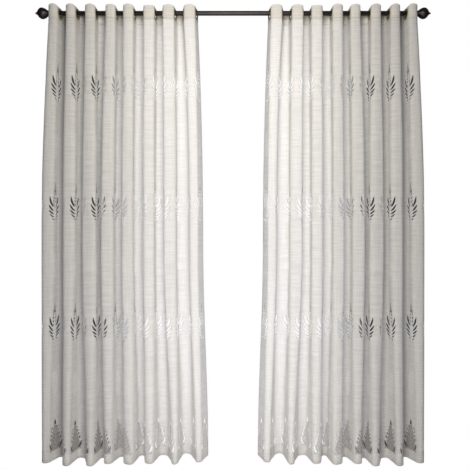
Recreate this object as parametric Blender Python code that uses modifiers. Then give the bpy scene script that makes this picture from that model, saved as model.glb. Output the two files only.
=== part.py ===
"""A pair of sheer leaf voile curtains with eyelet headings, hung on one rod.

Metres, +Z up. The origin is on the rod's axis, midway between its ends. The face of the
curtains looks along -Y. The left curtain is modelled and the right one is its mirror image.
"""

import math
from bisect import bisect_right
from collections import namedtuple

import bpy
from mathutils import Matrix, Vector
from mathutils.geometry import delaunay_2d_cdt

FIT_GAP = 0.0003

# Rod
ROD_RADIUS = 0.0125
ROD_LENGTH = 2.026
ROD_SIDES = 16
ROD_FLAT = ROD_RADIUS * math.cos(math.pi / ROD_SIDES)

# Finials, turned: distance outwards from the rod's end, and radius there
FINIAL_SIDES = 14
FINIAL_PROFILE = (
    (0.000, 0.0140),
    (0.010, 0.0195),
    (0.022, 0.0265),
    (0.035, 0.0300),
    (0.046, 0.0275),
    (0.056, 0.0185),
    (0.0635, 0.0085),
    (0.068, 0.0045),
    (0.075, 0.0015),
)

# Cloth, flat, and its heading
PANEL_WIDTH = 2.0
PANEL_LENGTH = 2.5
CLOTH_THICKNESS = 0.0012
HEADING_HEIGHT = 0.066
HEADING_INSET = 0.012
HEADING_BACK = CLOTH_THICKNESS + FIT_GAP

# Eyelets
EYELETS = 16
EYELET_MARGIN = 0.040
EYELET_PITCH = (PANEL_WIDTH - 2 * EYELET_MARGIN) / (EYELETS - 1)
EYELET_BELOW_EDGE = 0.040
RING_SIDES = 10
RING_INNER = 0.020
RING_NECK = 0.0212
RING_OUTER = 0.030
RING_LIP = 0.0012
RING_GRIP = 2 * CLOTH_THICKNESS + 3 * FIT_GAP
CLOTH_HOLE_SIDES = 8
CLOTH_HOLE = (RING_NECK + FIT_GAP) / math.cos(math.pi / CLOTH_HOLE_SIDES)
RING_SAG = RING_INNER * math.cos(math.pi / RING_SIDES) - ROD_FLAT - FIT_GAP
TOP_EDGE = EYELET_BELOW_EDGE - RING_SAG

# At the head the cloth stays flat around each eyelet, and turns between them. Its top margin,
# above the heading band, eases down on the flanks, so that each fold has a round top.
HEAD_DEPTH = 0.090
HEAD_FLAT = 0.0325
TOP_MARGIN = HEADING_INSET
FLANK_DIP = 0.007
SHOULDER_DIP = 0.003
TURN_DIPS = (FLANK_DIP, SHOULDER_DIP, 0.0, SHOULDER_DIP, FLANK_DIP)

# The folds, one row a front fold, from the outer edge inwards. Distances across are from the
# curtains' middle. At the head: the eyelets on the fold's outer and inner side, how far its
# flanks lean together at the front, and how far the top edge dips there. Half way down: the
# bends on the outer and inner side of its face, and the crease behind the inner bend. At the
# hem: the same with the crest between the bends, then how far the crest stands before the
# rod's axis and the crease behind it, and how far the hem there hangs above its lowest.
HeadFold = namedtuple("HeadFold", "eyelet_out eyelet_in lean dip")
HEAD_FOLDS = (
    HeadFold(1.005, 0.950, 0.003, 0.000),
    HeadFold(0.910, 0.855, 0.002, 0.001),
    HeadFold(0.804, 0.750, 0.000, 0.000),
    HeadFold(0.693, 0.639, 0.000, 0.002),
    HeadFold(0.598, 0.541, 0.001, 0.000),
    HeadFold(0.489, 0.426, 0.002, 0.006),
    HeadFold(0.386, 0.318, 0.004, 0.001),
    HeadFold(0.273, 0.201, 0.006, 0.000),
)
MidFold = namedtuple("MidFold", "face_out face_in crease")
MID_FOLDS = (
    MidFold(1.040, 0.972, 0.942),
    MidFold(0.925, 0.859, 0.831),
    MidFold(0.822, 0.747, 0.725),
    MidFold(0.719, 0.648, 0.623),
    MidFold(0.607, 0.545, 0.511),
    MidFold(0.492, 0.426, 0.394),
    MidFold(0.380, 0.310, 0.276),
    MidFold(0.238, 0.184, 0.167),
)
HemFold = namedtuple("HemFold", "face_out crest face_in crease front back crest_rise crease_rise")
HEM_FOLDS = (
    HemFold(1.044, 1.022, 0.993, 0.955, 0.038, 0.055, 0.009, 0.003),
    HemFold(0.931, 0.900, 0.880, 0.854, 0.053, 0.052, 0.000, 0.000),
    HemFold(0.802, 0.769, 0.751, 0.728, 0.055, 0.049, 0.000, 0.000),
    HemFold(0.707, 0.678, 0.653, 0.620, 0.045, 0.058, 0.008, 0.002),
    HemFold(0.600, 0.556, 0.536, 0.510, 0.050, 0.061, 0.006, 0.009),
    HemFold(0.484, 0.451, 0.427, 0.395, 0.047, 0.061, 0.009, 0.011),
    HemFold(0.339, 0.316, 0.295, 0.266, 0.052, 0.062, 0.007, 0.020),
    HemFold(0.207, 0.186, 0.163, 0.139, 0.046, 0.050, 0.017, 0.016),
)
MID_OUTER_EDGE = (1.025, 0.040)
HEM_OUTER_EDGE = (1.019, 0.036)
MID_FRONT = 0.044
MID_BACK = 0.044

# Shape of a free fold in plan: how wide each crease opens, as a share of the way from it to
# the next face, the share of the depth that each bend takes, and how square the bends are
Wave = namedtuple("Wave", "crease_share crest_bend crease_bend shoulder")
MID_WAVE = Wave(1.15, 0.28, 0.26, 0.76)
HEM_WAVE = Wave(0.72, 0.36, 0.34, 0.70)

# Heights where the cloth's shape is set out, below its top edge
MID_DEPTH = 1.30
ROWS = (0.0, TOP_MARGIN, HEAD_DEPTH, 0.45, MID_DEPTH, PANEL_LENGTH)

# Open leaf slits: rows of leaves down the cloth, one leaf by each eyelet. An outline is in
# metres out from the leaf's stem and down from its tip. A fourth row runs into the hem, and
# its leaves have one hole at the tip.
LEAF_ROWS = 3
LEAF_TOP = 0.305
LEAF_ROW_PITCH = 0.657
LEAF_SHIFT = -0.010
LEAF_EDGE_KEEP = 0.012
LEAF_SLIT = ((0.015, 0.136), (0.029, 0.110), (0.040, 0.078), (0.038, 0.118))
BORDER_HOLE_BELOW = 0.006
BORDER_HOLE = ((0.0, -0.012), (-0.008, 0.008), (0.0, 0.015), (0.008, 0.008))

# Distances under which two points count as one, and halvings that settle a fold's depth
CDT_NEAR = 1e-7
FOLD_LINE_NEAR = 1e-4
MERGE_NEAR = 0.00005
HALVINGS = 40


def clear_scene():
    for old in list(bpy.data.objects):
        bpy.data.objects.remove(old, do_unlink=True)


def make_material(name, colour, roughness, metallic=0.0):
    material = bpy.data.materials.new(name)
    material.use_nodes = True
    shader = material.node_tree.nodes["Principled BSDF"]
    shader.inputs["Base Color"].default_value = (*colour, 1.0)
    shader.inputs["Roughness"].default_value = roughness
    shader.inputs["Metallic"].default_value = metallic
    return material


def add_object(name, mesh, material, collection):
    piece = bpy.data.objects.new(name, mesh)
    if not mesh.materials:
        mesh.materials.append(material)
    collection.objects.link(piece)
    return piece


def mix(a, b, t):
    return a + (b - a) * t


def smooth(t):
    return t * t * (3.0 - 2.0 * t)


def slowing(t):
    return t * (2.0 - t)


# The folds in plan: points (x, y, rise) from the outer edge to the inner one. The cloth goes
# by turns round a crest in front and a crease behind, and each turn has five points: the
# foot where the flank before it ends, a shoulder, its top, a shoulder, and the next foot.


def shoulder_point(top, foot, shoulder):
    x = mix(top[0], foot[0], shoulder)
    y = mix(top[1], foot[1], 1 - shoulder)
    return (x, y, mix(top[2], foot[2], 0.5))


def turn_points(before, top, after, shoulder):
    return [before, shoulder_point(top, before, shoulder), top, shoulder_point(top, after, shoulder), after]


def bend_depth(half_width, length, shoulder):
    """Depth of a half turn of two chords that is half_width wide and takes a length of cloth."""
    low, high = 0.0, length
    for _ in range(HALVINGS):
        depth = (low + high) / 2
        first = math.hypot(shoulder * half_width, (1 - shoulder) * depth)
        second = math.hypot((1 - shoulder) * half_width, shoulder * depth)
        if first + second < length:
            low = depth
        else:
            high = depth
    return low


def head_turn(left, right, flat_y, dip):
    """A turn between two eyelets: in front of the rod where flat_y is negative, else behind."""
    shoulder = math.sqrt(0.5)
    half = (right - left) / 2
    depth = abs(flat_y) + bend_depth(half, EYELET_PITCH / 2 - HEAD_FLAT, shoulder)
    top = (left + half, math.copysign(depth, flat_y), -dip)
    return turn_points((left, flat_y, 0.0), top, (right, flat_y, 0.0), shoulder)


def head_plan():
    """Folds where the cloth hangs on its eyelets, with a straight flank by each eyelet."""
    first, last = HEAD_FOLDS[0], HEAD_FOLDS[-1]
    points = [(-first.eyelet_out - first.lean, EYELET_MARGIN, 0.0)]
    for index, fold in enumerate(HEAD_FOLDS):
        left = -fold.eyelet_out + fold.lean
        right = -fold.eyelet_in - fold.lean
        points += head_turn(left, right, -HEAD_FLAT, fold.dip)
        if index + 1 < len(HEAD_FOLDS):
            following = HEAD_FOLDS[index + 1]
            left = -fold.eyelet_in + fold.lean
            right = -following.eyelet_out - following.lean
            points += head_turn(left, right, HEAD_FLAT, 0.0)
    points.append((-last.eyelet_in + last.lean, EYELET_MARGIN, 0.0))
    return points


def top_plan():
    """The folds at the head's top edge, which dips from the top of each turn to its feet."""
    turns = (len(HEAD_FOLDS) * 2 - 1) * TURN_DIPS
    dips = (FLANK_DIP, *turns, FLANK_DIP)
    return [(x, y, rise - dip) for (x, y, rise), dip in zip(head_plan(), dips)]


def free_plan(folds, outer_edge, wave):
    """Folds that hang free. The last fold's crease is the cloth's inner edge."""
    points = [(-outer_edge[0], outer_edge[1], folds[0].crease_rise)]
    for index, fold in enumerate(folds):
        depth = fold.front + fold.back
        foot_y = -fold.front + wave.crest_bend * depth
        foot_rise = mix(fold.crest_rise, fold.crease_rise, wave.crest_bend)
        crest = (-fold.crest, -fold.front, fold.crest_rise)
        before = (-fold.face_out, foot_y, foot_rise)
        after = (-fold.face_in, foot_y, foot_rise)
        points += turn_points(before, crest, after, wave.shoulder)
        crease = (-fold.crease, fold.back, fold.crease_rise)
        if index + 1 < len(folds):
            following = folds[index + 1]
            foot_y = fold.back - wave.crease_bend * depth
            foot_rise = mix(fold.crease_rise, fold.crest_rise, wave.crease_bend)
            before = (-mix(fold.crease, fold.face_in, wave.crease_share), foot_y, foot_rise)
            after = (-mix(fold.crease, following.face_out, wave.crease_share), foot_y, foot_rise)
            points += turn_points(before, crease, after, wave.shoulder)
        else:
            points.append(crease)
    return points


def mid_plan():
    folds = [
        HemFold(
            fold.face_out, (fold.face_out + fold.face_in) / 2, fold.face_in, fold.crease,
            MID_FRONT, MID_BACK, 0.0, 0.0,
        )
        for fold in MID_FOLDS
    ]
    return free_plan(folds, MID_OUTER_EDGE, MID_WAVE)


def hem_plan():
    return free_plan(HEM_FOLDS, HEM_OUTER_EDGE, HEM_WAVE)


def blend_plans(first, second, t):
    return [tuple(mix(a, b, t) for a, b in zip(p, q)) for p, q in zip(first, second)]


def plan_at(depth):
    """Plan of the folds at a depth below the top edge."""
    if depth <= TOP_MARGIN:
        return blend_plans(top_plan(), head_plan(), depth / TOP_MARGIN)
    if depth <= HEAD_DEPTH:
        return head_plan()
    if depth <= MID_DEPTH:
        share = slowing((depth - HEAD_DEPTH) / (MID_DEPTH - HEAD_DEPTH))
        return blend_plans(head_plan(), mid_plan(), share)
    share = smooth((depth - MID_DEPTH) / (PANEL_LENGTH - MID_DEPTH))
    return blend_plans(mid_plan(), hem_plan(), share)


def widths_along(plan):
    """How far across the flat cloth each point of a plan lies."""
    steps = [0.0]
    for first, second in zip(plan, plan[1:]):
        steps.append(steps[-1] + math.dist(first[:2], second[:2]))
    return [step * PANEL_WIDTH / steps[-1] for step in steps]


def set_back(plan, distance):
    """The plan moved to the back of the cloth by a distance, square to it, with mitred bends."""
    moved = []
    for index, (x, y, rise) in enumerate(plan):
        before = Vector(plan[max(0, index - 1)][:2])
        here = Vector((x, y))
        after = Vector(plan[min(len(plan) - 1, index + 1)][:2])
        sides = [(b - a).normalized() for a, b in ((before, here), (here, after)) if (b - a).length > 0]
        normals = [Vector((-side.y, side.x)) for side in sides]
        middle = sum(normals, Vector((0.0, 0.0))).normalized()
        here += middle * (distance / middle.dot(normals[0]))
        moved.append((here.x, here.y, rise))
    return moved


class Drape:
    """Maps flat cloth, across and down, to its hung place, or to one set back from it."""

    def __init__(self, depths, back=0.0):
        self.depths = depths
        self.back = back
        self.plans = [plan_at(depth) for depth in depths]
        self.across = [widths_along(plan) for plan in self.plans]
        self.back_plans = [set_back(plan, back) for plan in self.plans]

    def point(self, across, down):
        row = min(len(self.depths) - 2, max(0, bisect_right(self.depths, down) - 1))
        t = (down - self.depths[row]) / (self.depths[row + 1] - self.depths[row])
        lines = [mix(a, b, t) for a, b in zip(self.across[row], self.across[row + 1])]
        column = min(len(lines) - 2, max(0, bisect_right(lines, across) - 1))
        s = (across - lines[column]) / (lines[column + 1] - lines[column])
        on_fold_line = min(s, 1 - s) < FOLD_LINE_NEAR
        plans = self.back_plans if on_fold_line else self.plans
        left, right = (
            Vector(plans[row][side]).lerp(Vector(plans[row + 1][side]), t) for side in (column, column + 1)
        )
        place = left.lerp(right, s)
        if not on_fold_line:
            place += Vector((left.y - right.y, right.x - left.x, 0.0)).normalized() * self.back
        place.z += TOP_EDGE - down
        return place


def counter_clockwise(outline):
    area = sum(a[0] * b[1] - b[0] * a[1] for a, b in zip(outline, outline[1:] + outline[:1]))
    return outline if area > 0 else outline[::-1]


def sheet_mesh(name, drape, holes, mirror):
    """An open cloth sheet with its holes, triangulated along its fold lines."""
    points = []
    lines = []
    columns = len(drape.across[0])
    for row, depth in enumerate(drape.depths):
        for column in range(columns):
            points.append(Vector((drape.across[row][column], depth)))
            if row:
                lines.append((len(points) - 1 - columns, len(points) - 1))
            if column and (depth <= HEAD_DEPTH or depth == drape.depths[-1]):
                lines.append((len(points) - 2, len(points) - 1))
    outlines = []
    for hole in holes:
        first = len(points)
        points += [Vector(point) for point in counter_clockwise(hole)]
        outlines.append(list(range(first, len(points))))
    corners, _, faces, _, _, sources = delaunay_2d_cdt(points, lines, outlines, 0, CDT_NEAR)
    places = [drape.point(corner.x, corner.y) for corner in corners]
    if mirror:
        places = [Vector((-place.x, place.y, place.z)) for place in places]
    kept = [face for face, source in zip(faces, sources) if not source]
    # Down the cloth is down in space, so a face that turns left on the flat cloth faces back
    kept = [face if mirror else face[::-1] for face in kept]
    mesh = bpy.data.meshes.new(name)
    mesh.from_pydata(places, [], kept)
    mesh.validate()
    return mesh


def add_sheet(name, drape, holes, mirror, material, collection):
    piece = add_object(name, sheet_mesh(name, drape, holes, mirror), material, collection)
    thickness = piece.modifiers.new("Thickness", "SOLIDIFY")
    thickness.thickness = CLOTH_THICKNESS
    thickness.offset = 0.0
    thickness.use_even_offset = True
    return piece


# Holes in the flat cloth


def eyelet_positions():
    return [EYELET_MARGIN + index * EYELET_PITCH for index in range(EYELETS)]


def eyelet_holes():
    holes = []
    for across in eyelet_positions():
        turns = [2 * math.pi * (side + 0.5) / CLOTH_HOLE_SIDES for side in range(CLOTH_HOLE_SIDES)]
        holes.append([
            (across + CLOTH_HOLE * math.cos(turn), EYELET_BELOW_EDGE + CLOTH_HOLE * math.sin(turn))
            for turn in turns
        ])
    return holes


def leaf_holes():
    """The two largest slits of each leaf, and the tip hole of each leaf that runs into the hem."""
    holes = []
    for across in eyelet_positions():
        axis = across + LEAF_SHIFT
        for row in range(LEAF_ROWS):
            top = LEAF_TOP + row * LEAF_ROW_PITCH
            for side in (-1, 1):
                holes.append([(axis + side * out, top + down) for out, down in LEAF_SLIT])
        tip = LEAF_TOP + LEAF_ROWS * LEAF_ROW_PITCH + BORDER_HOLE_BELOW
        holes.append([(axis + out, tip + down) for out, down in BORDER_HOLE])
    inside = (LEAF_EDGE_KEEP, PANEL_WIDTH - LEAF_EDGE_KEEP)
    return [hole for hole in holes if all(inside[0] < point[0] < inside[1] for point in hole)]


# Hard pieces


def turned_mesh(name, profile, closed):
    """The outline of a turned piece, at +X of its axis, top to bottom on its outer side."""
    mesh = bpy.data.meshes.new(name)
    edges = [(index, index + 1) for index in range(len(profile) - 1)]
    if closed:
        edges.append((len(profile) - 1, 0))
    mesh.from_pydata([(radius, 0.0, height) for radius, height in profile], edges, [])
    return mesh


def add_turned(name, mesh, sides, material, collection):
    piece = add_object(name, mesh, material, collection)
    turn = piece.modifiers.new("Turn", "SCREW")
    turn.steps = sides
    turn.render_steps = sides
    turn.use_merge_vertices = True
    turn.merge_threshold = MERGE_NEAR
    return piece


def ring_profile():
    grip = RING_GRIP / 2
    face = grip + RING_LIP
    return (
        (RING_INNER, face),
        (RING_OUTER, grip),
        (RING_NECK, grip),
        (RING_NECK, -grip),
        (RING_OUTER, -grip),
        (RING_INNER, -face),
    )


def add_eyelets(side_name, mirror, material, collection):
    """Pressed rings, each square to the cloth at its hole and resting over the rod."""
    mesh = turned_mesh("eyelet_" + side_name, ring_profile(), True)
    drape = Drape((TOP_MARGIN, HEAD_DEPTH))
    for number, across in enumerate(eyelet_positions(), 1):
        before = drape.point(across - HEAD_FLAT / 2, EYELET_BELOW_EDGE)
        after = drape.point(across + HEAD_FLAT / 2, EYELET_BELOW_EDGE)
        if mirror:
            before.x = -before.x
            after.x = -after.x
        along = (after - before).normalized()
        square = Vector((-along.y, along.x, 0.0))
        toward_back = -square if mirror else square
        centre = (before + after) / 2 + toward_back * (HEADING_BACK / 2)
        piece = add_turned(f"eyelet_{side_name}_{number:02d}", mesh, RING_SIDES, material, collection)
        up = Vector((0.0, 0.0, 1.0))
        turn = Matrix((up.cross(square), up, square)).transposed()
        piece.matrix_world = Matrix.Translation(centre) @ turn.to_4x4()


def add_rod(material, collection):
    """A straight bar with a flat along its top, where the eyelets rest, and along its underside."""
    bpy.ops.mesh.primitive_cylinder_add(
        vertices=ROD_SIDES, radius=ROD_RADIUS, depth=ROD_LENGTH, rotation=(0.0, math.pi / 2, 0.0)
    )
    rod = bpy.context.active_object
    rod.name = "rod"
    rod.data.transform(Matrix.Rotation(math.pi / ROD_SIDES, 4, "Z"))
    rod.data.materials.append(material)
    for owner in list(rod.users_collection):
        owner.objects.unlink(rod)
    collection.objects.link(rod)


def add_finials(material, collection):
    length = FINIAL_PROFILE[-1][0]
    profile = [(0.0, length)] + [(radius, out) for out, radius in reversed(FINIAL_PROFILE)] + [(0.0, 0.0)]
    for name, side in (("finial_left", -1), ("finial_right", 1)):
        piece = add_turned(name, turned_mesh(name, profile, False), FINIAL_SIDES, material, collection)
        piece.location.x = side * (ROD_LENGTH / 2 + FIT_GAP)
        piece.rotation_euler.y = side * math.pi / 2


def main():
    clear_scene()
    collection = bpy.data.collections.new("leaf_voile_curtains")
    bpy.context.scene.collection.children.link(collection)
    voile = make_material("voile", (0.74, 0.71, 0.64), 0.85)
    band = make_material("heading_band", (0.80, 0.78, 0.73), 0.9)
    brass = make_material("aged_brass", (0.36, 0.29, 0.17), 0.35, 1.0)
    bronze = make_material("dark_bronze", (0.022, 0.018, 0.015), 0.45, 0.6)

    panel_drape = Drape(ROWS)
    heading_drape = Drape((HEADING_INSET, HEADING_INSET + HEADING_HEIGHT), HEADING_BACK)
    for side_name, mirror in (("left", False), ("right", True)):
        holes = eyelet_holes() + leaf_holes()
        add_sheet("panel_" + side_name, panel_drape, holes, mirror, voile, collection)
        add_sheet("heading_" + side_name, heading_drape, eyelet_holes(), mirror, band, collection)
        add_eyelets(side_name, mirror, brass, collection)
    add_rod(bronze, collection)
    add_finials(bronze, collection)


main()
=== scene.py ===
"""Looks of a pair of sheer leaf voile curtains on their rod, in metres, +Z up, face towards -Y.

The cloth is set out flat first, across and down from its outer top corner, and then hung on
its folds. The left curtain is made first and the right one is its mirror image.
"""

import math
from collections import namedtuple

import bpy
import numpy as np
from mathutils import Matrix, Vector
from mathutils.geometry import delaunay_2d_cdt


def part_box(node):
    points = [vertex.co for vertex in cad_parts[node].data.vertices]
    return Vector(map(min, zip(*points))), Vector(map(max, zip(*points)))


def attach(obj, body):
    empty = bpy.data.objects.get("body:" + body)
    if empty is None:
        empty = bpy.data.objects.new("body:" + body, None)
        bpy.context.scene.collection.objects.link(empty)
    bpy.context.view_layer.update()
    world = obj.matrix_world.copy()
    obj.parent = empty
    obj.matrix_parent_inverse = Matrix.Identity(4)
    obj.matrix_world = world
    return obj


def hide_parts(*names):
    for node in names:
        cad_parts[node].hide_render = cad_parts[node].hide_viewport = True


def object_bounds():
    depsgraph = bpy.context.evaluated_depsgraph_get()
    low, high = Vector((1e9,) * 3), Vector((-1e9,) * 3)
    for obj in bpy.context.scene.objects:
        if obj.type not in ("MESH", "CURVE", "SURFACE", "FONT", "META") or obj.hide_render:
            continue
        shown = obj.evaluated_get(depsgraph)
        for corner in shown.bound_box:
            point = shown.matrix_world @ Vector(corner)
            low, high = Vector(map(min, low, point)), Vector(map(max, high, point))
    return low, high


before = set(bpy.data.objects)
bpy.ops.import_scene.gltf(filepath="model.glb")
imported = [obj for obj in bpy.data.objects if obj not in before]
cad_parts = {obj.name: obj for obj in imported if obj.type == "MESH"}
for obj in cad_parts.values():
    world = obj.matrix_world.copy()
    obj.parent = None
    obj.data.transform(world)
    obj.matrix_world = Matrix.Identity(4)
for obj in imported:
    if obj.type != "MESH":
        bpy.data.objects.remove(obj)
CAD_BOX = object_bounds()
BODY = "root"
MM = 0.001
ALONG_ROD = (0, math.pi / 2, 0)

# Cloth, flat, and its heading
PANEL_WIDTH = 2.0
PANEL_LENGTH = 2.5
VOILE_THICKNESS = 0.6 * MM
HEADING_HEIGHT = 66 * MM
HEADING_INSET = 12 * MM
HEADING_BACK = 1.5 * MM
HEADING_THICKNESS = 0.8 * MM
TOP_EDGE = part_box("panel_left")[1].z

# Rod and its turned ends: distance outwards from the rod's end, and radius there
ROD_RADIUS = 12.5 * MM
ROD_LENGTH = 2.026
ROD_SIDES = 48
ROD_EDGE = 0.8 * MM
ROD_SMOOTH_ANGLE = math.radians(35)
FINIAL_GAP = 0.3 * MM
FINIAL_SMOOTH_ANGLE = math.radians(40)
FINIAL_PROFILE = (
    (0, 14.0), (3, 14.2), (7, 17.2), (12, 21.0), (18, 24.6), (25, 27.8), (31, 29.6), (36, 30.0),
    (41, 29.2), (46, 27.2), (51, 23.6), (55, 19.2), (59, 14.0), (62, 10.2), (65, 7.2), (69, 4.8),
    (72, 3.2), (74, 2.0), (75, 1.0),
)

# Eyelets
EYELETS = 16
EYELET_MARGIN = 40 * MM
EYELET_PITCH = (PANEL_WIDTH - 2 * EYELET_MARGIN) / (EYELETS - 1)
EYELET_BELOW_EDGE = 40 * MM
CLOTH_HOLE_RADIUS = 21.6 * MM
CLOTH_HOLE_SIDES = 24
RING_STEPS = 40
RING_SECTION_SIDES = 10
RING_MERGE = 0.01 * MM

# Rolled sections of a pressed ring, in millimetres: radius of the section's middle, its place
# along the ring's axis, and half its width and height
RingSection = namedtuple("RingSection", "radius along half_width half_height")
RING_SECTIONS = (
    RingSection(25.0, -2.0, 5.2, 1.0),
    RingSection(25.0, 2.0, 5.2, 1.0),
    RingSection(20.4, 0.0, 0.9, 2.4),
)

# Folds, one row a front fold, from the outer edge inwards, as in the solids. First the head: the
# places of each fold's two eyelets, how far the flanks lean, and how far the fold dips
HEAD_DEPTH = 0.090
HEAD_FLAT = 0.0325
TOP_MARGIN = HEADING_INSET
FLANK_DIP = 0.007
SHOULDER_DIP = 0.003
TURN_POINTS = 5
TURN_DIPS = (FLANK_DIP, SHOULDER_DIP, 0.0, SHOULDER_DIP, FLANK_DIP)
HeadFold = namedtuple("HeadFold", "eyelet_out eyelet_in lean dip")
HEAD_FOLDS = (
    HeadFold(1.005, 0.950, 0.003, 0.000),
    HeadFold(0.910, 0.855, 0.002, 0.001),
    HeadFold(0.804, 0.750, 0.000, 0.000),
    HeadFold(0.693, 0.639, 0.000, 0.002),
    HeadFold(0.598, 0.541, 0.001, 0.000),
    HeadFold(0.489, 0.426, 0.002, 0.006),
    HeadFold(0.386, 0.318, 0.004, 0.001),
    HeadFold(0.273, 0.201, 0.006, 0.000),
)

# Half way down: the two edges of each fold's face, and the crease after it
MidFold = namedtuple("MidFold", "face_out face_in crease")
MID_FOLDS = (
    MidFold(1.040, 0.972, 0.942),
    MidFold(0.925, 0.859, 0.831),
    MidFold(0.822, 0.747, 0.725),
    MidFold(0.719, 0.648, 0.623),
    MidFold(0.607, 0.545, 0.511),
    MidFold(0.492, 0.426, 0.394),
    MidFold(0.380, 0.310, 0.276),
    MidFold(0.238, 0.184, 0.167),
)

# The hem: the same with the crest between the edges, how far the fold stands out in front and
# behind, and how far the hem rises there
HemFold = namedtuple("HemFold", "face_out crest face_in crease front back crest_rise crease_rise")
HEM_FOLDS = (
    HemFold(1.044, 1.022, 0.993, 0.955, 0.038, 0.055, 0.009, 0.003),
    HemFold(0.931, 0.900, 0.880, 0.854, 0.053, 0.052, 0.000, 0.000),
    HemFold(0.802, 0.769, 0.751, 0.728, 0.055, 0.049, 0.000, 0.000),
    HemFold(0.707, 0.678, 0.653, 0.620, 0.045, 0.058, 0.008, 0.002),
    HemFold(0.600, 0.556, 0.536, 0.510, 0.050, 0.061, 0.006, 0.009),
    HemFold(0.484, 0.451, 0.427, 0.395, 0.047, 0.061, 0.009, 0.011),
    HemFold(0.339, 0.316, 0.295, 0.266, 0.052, 0.062, 0.007, 0.020),
    HemFold(0.207, 0.186, 0.163, 0.139, 0.046, 0.050, 0.017, 0.016),
)
MID_OUTER_EDGE = (1.025, 0.040)
HEM_OUTER_EDGE = (1.019, 0.036)
MID_FRONT = 0.044
MID_BACK = 0.044

# How free folds turn: the width of a crease's turn as a share of the way to the faces beside it,
# the depths of the turns at crests and creases as shares of the fold's, and their shoulders
Wave = namedtuple("Wave", "crease_share crest_bend crease_bend shoulder")
MID_WAVE = Wave(1.15, 0.28, 0.26, 0.76)
HEM_WAVE = Wave(0.72, 0.36, 0.34, 0.70)
MID_DEPTH = 1.30
HALVINGS = 40

# Soft creases between the main folds, one row a crease: where it starts across and down the
# flat cloth, how far across it drifts by its foot, where that is, its width and its height,
# which is towards the front where it is positive
SoftCrease = namedtuple("SoftCrease", "across top drift foot width height")
SOFT_CREASES = (
    SoftCrease(0.075, 0.50, 0.010, 2.60, 0.020, 0.0030),
    SoftCrease(0.150, 0.70, -0.012, 2.60, 0.018, -0.0034),
    SoftCrease(0.330, 0.35, 0.014, 1.90, 0.016, 0.0026),
    SoftCrease(0.402, 1.10, -0.010, 2.60, 0.020, -0.0036),
    SoftCrease(0.585, 0.25, 0.012, 1.50, 0.016, -0.0024),
    SoftCrease(0.650, 1.20, 0.010, 2.60, 0.018, 0.0034),
    SoftCrease(0.840, 0.45, -0.012, 2.60, 0.020, 0.0030),
    SoftCrease(0.905, 0.90, 0.010, 2.30, 0.018, -0.0030),
    SoftCrease(1.090, 0.30, 0.012, 1.70, 0.018, -0.0028),
    SoftCrease(1.165, 1.30, -0.012, 2.60, 0.020, 0.0036),
    SoftCrease(1.345, 0.55, 0.010, 2.60, 0.020, 0.0028),
    SoftCrease(1.420, 0.25, -0.010, 1.60, 0.016, -0.0026),
    SoftCrease(1.600, 0.80, 0.012, 2.60, 0.018, -0.0032),
    SoftCrease(1.690, 0.35, -0.014, 2.20, 0.020, 0.0030),
    SoftCrease(1.860, 0.60, 0.012, 2.60, 0.020, 0.0034),
    SoftCrease(1.945, 0.20, -0.010, 1.80, 0.016, -0.0026),
)

# A soft crease fades in, and out again, over one fifth of its length
CREASE_FADE = 5

# The flat cloth's grid, and how finely its folds are drawn
COLUMNS = 270
ROW_PITCH = 0.021
MARGIN_ROWS = 5
HEADING_ROWS = 8
CURVE_STEPS = 8
DIRECTION_STEP = 2 * MM
MERGE_DISTANCE = 1e-7

# Leaves: rows of them down the cloth, one leaf by each eyelet. A fourth row runs into the hem.
# No slit comes nearer to the cloth's side edges than EDGE_KEEP.
LEAF_ROWS = 3
LEAF_TOP = 0.305
LEAF_ROW_PITCH = 0.657
LEAF_SHIFT = -0.005
EDGE_KEEP = 0.006

# Open slits on one side of a leaf, from the tip down, in millimetres out from the stem and
# down from the tip: foot, belly and point of a curved slit, and its width
Slit = namedtuple("Slit", "foot belly point width")
LEAF_SLITS = (
    Slit((4, 56), (10, 52), (13, 42), 5.0),
    Slit((5, 74), (11, 70), (16, 59), 6.0),
    Slit((5, 93), (13, 89), (19, 77), 6.6),
    Slit((6, 113), (14, 108), (21, 95), 7.0),
    Slit((7, 132), (16, 127), (23, 114), 6.6),
    Slit((17, 140), (34, 116), (42, 78), 11.0),
    Slit((15, 160), (34, 147), (49, 121), 9.6),
    Slit((14, 177), (32, 169), (48, 152), 8.6),
    Slit((12, 193), (28, 188), (42, 175), 7.2),
    Slit((6, 208), (17, 206), (29, 199), 5.4),
)
HEM_SLITS = (
    Slit((17, 52), (20, 47), (21, 40), 4.4),
    Slit((21, 72), (25, 66), (26, 58), 5.0),
    Slit((25, 92), (30, 86), (31, 77), 5.4),
    Slit((29, 113), (35, 106), (36, 96), 5.8),
    Slit((24, 162), (39, 147), (43, 122), 8.6),
)

# The open tip of a leaf in the hem row, in the same millimetres, and how slits are drawn
TIP_HOLE = ((0, -2), (-4, 8), (-8, 20), (-5, 26), (0, 28), (5, 26), (8, 20), (4, 8))
SLIT_STEPS = 5
SLIT_FULLNESS = 0.6

# How much of the light each face of the voile holds back, and of the net in its leaves
VOILE_COVER = 0.54
NET_COVER = 0.17

# Painted shade: dark cards behind the outer folds, seen through the slits and the sheer cloth, in three
# columns from the inner end: distances from the middle at the top and foot, and behind the rod. The
# outer end stands inside the first fold.
CardColumn = namedtuple("CardColumn", "top_across foot_across back")
CARD_COLUMNS = (
    CardColumn(0.460, 0.460, 0.066),
    CardColumn(0.985, 0.985, 0.066),
    CardColumn(0.998, 1.030, 0.000),
)
CARD_CLEAR = CARD_COLUMNS[0].top_across
CARD_DARK = 0.75
CARD_TOP = 0.015
CARD_FOOT = -2.452

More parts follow.
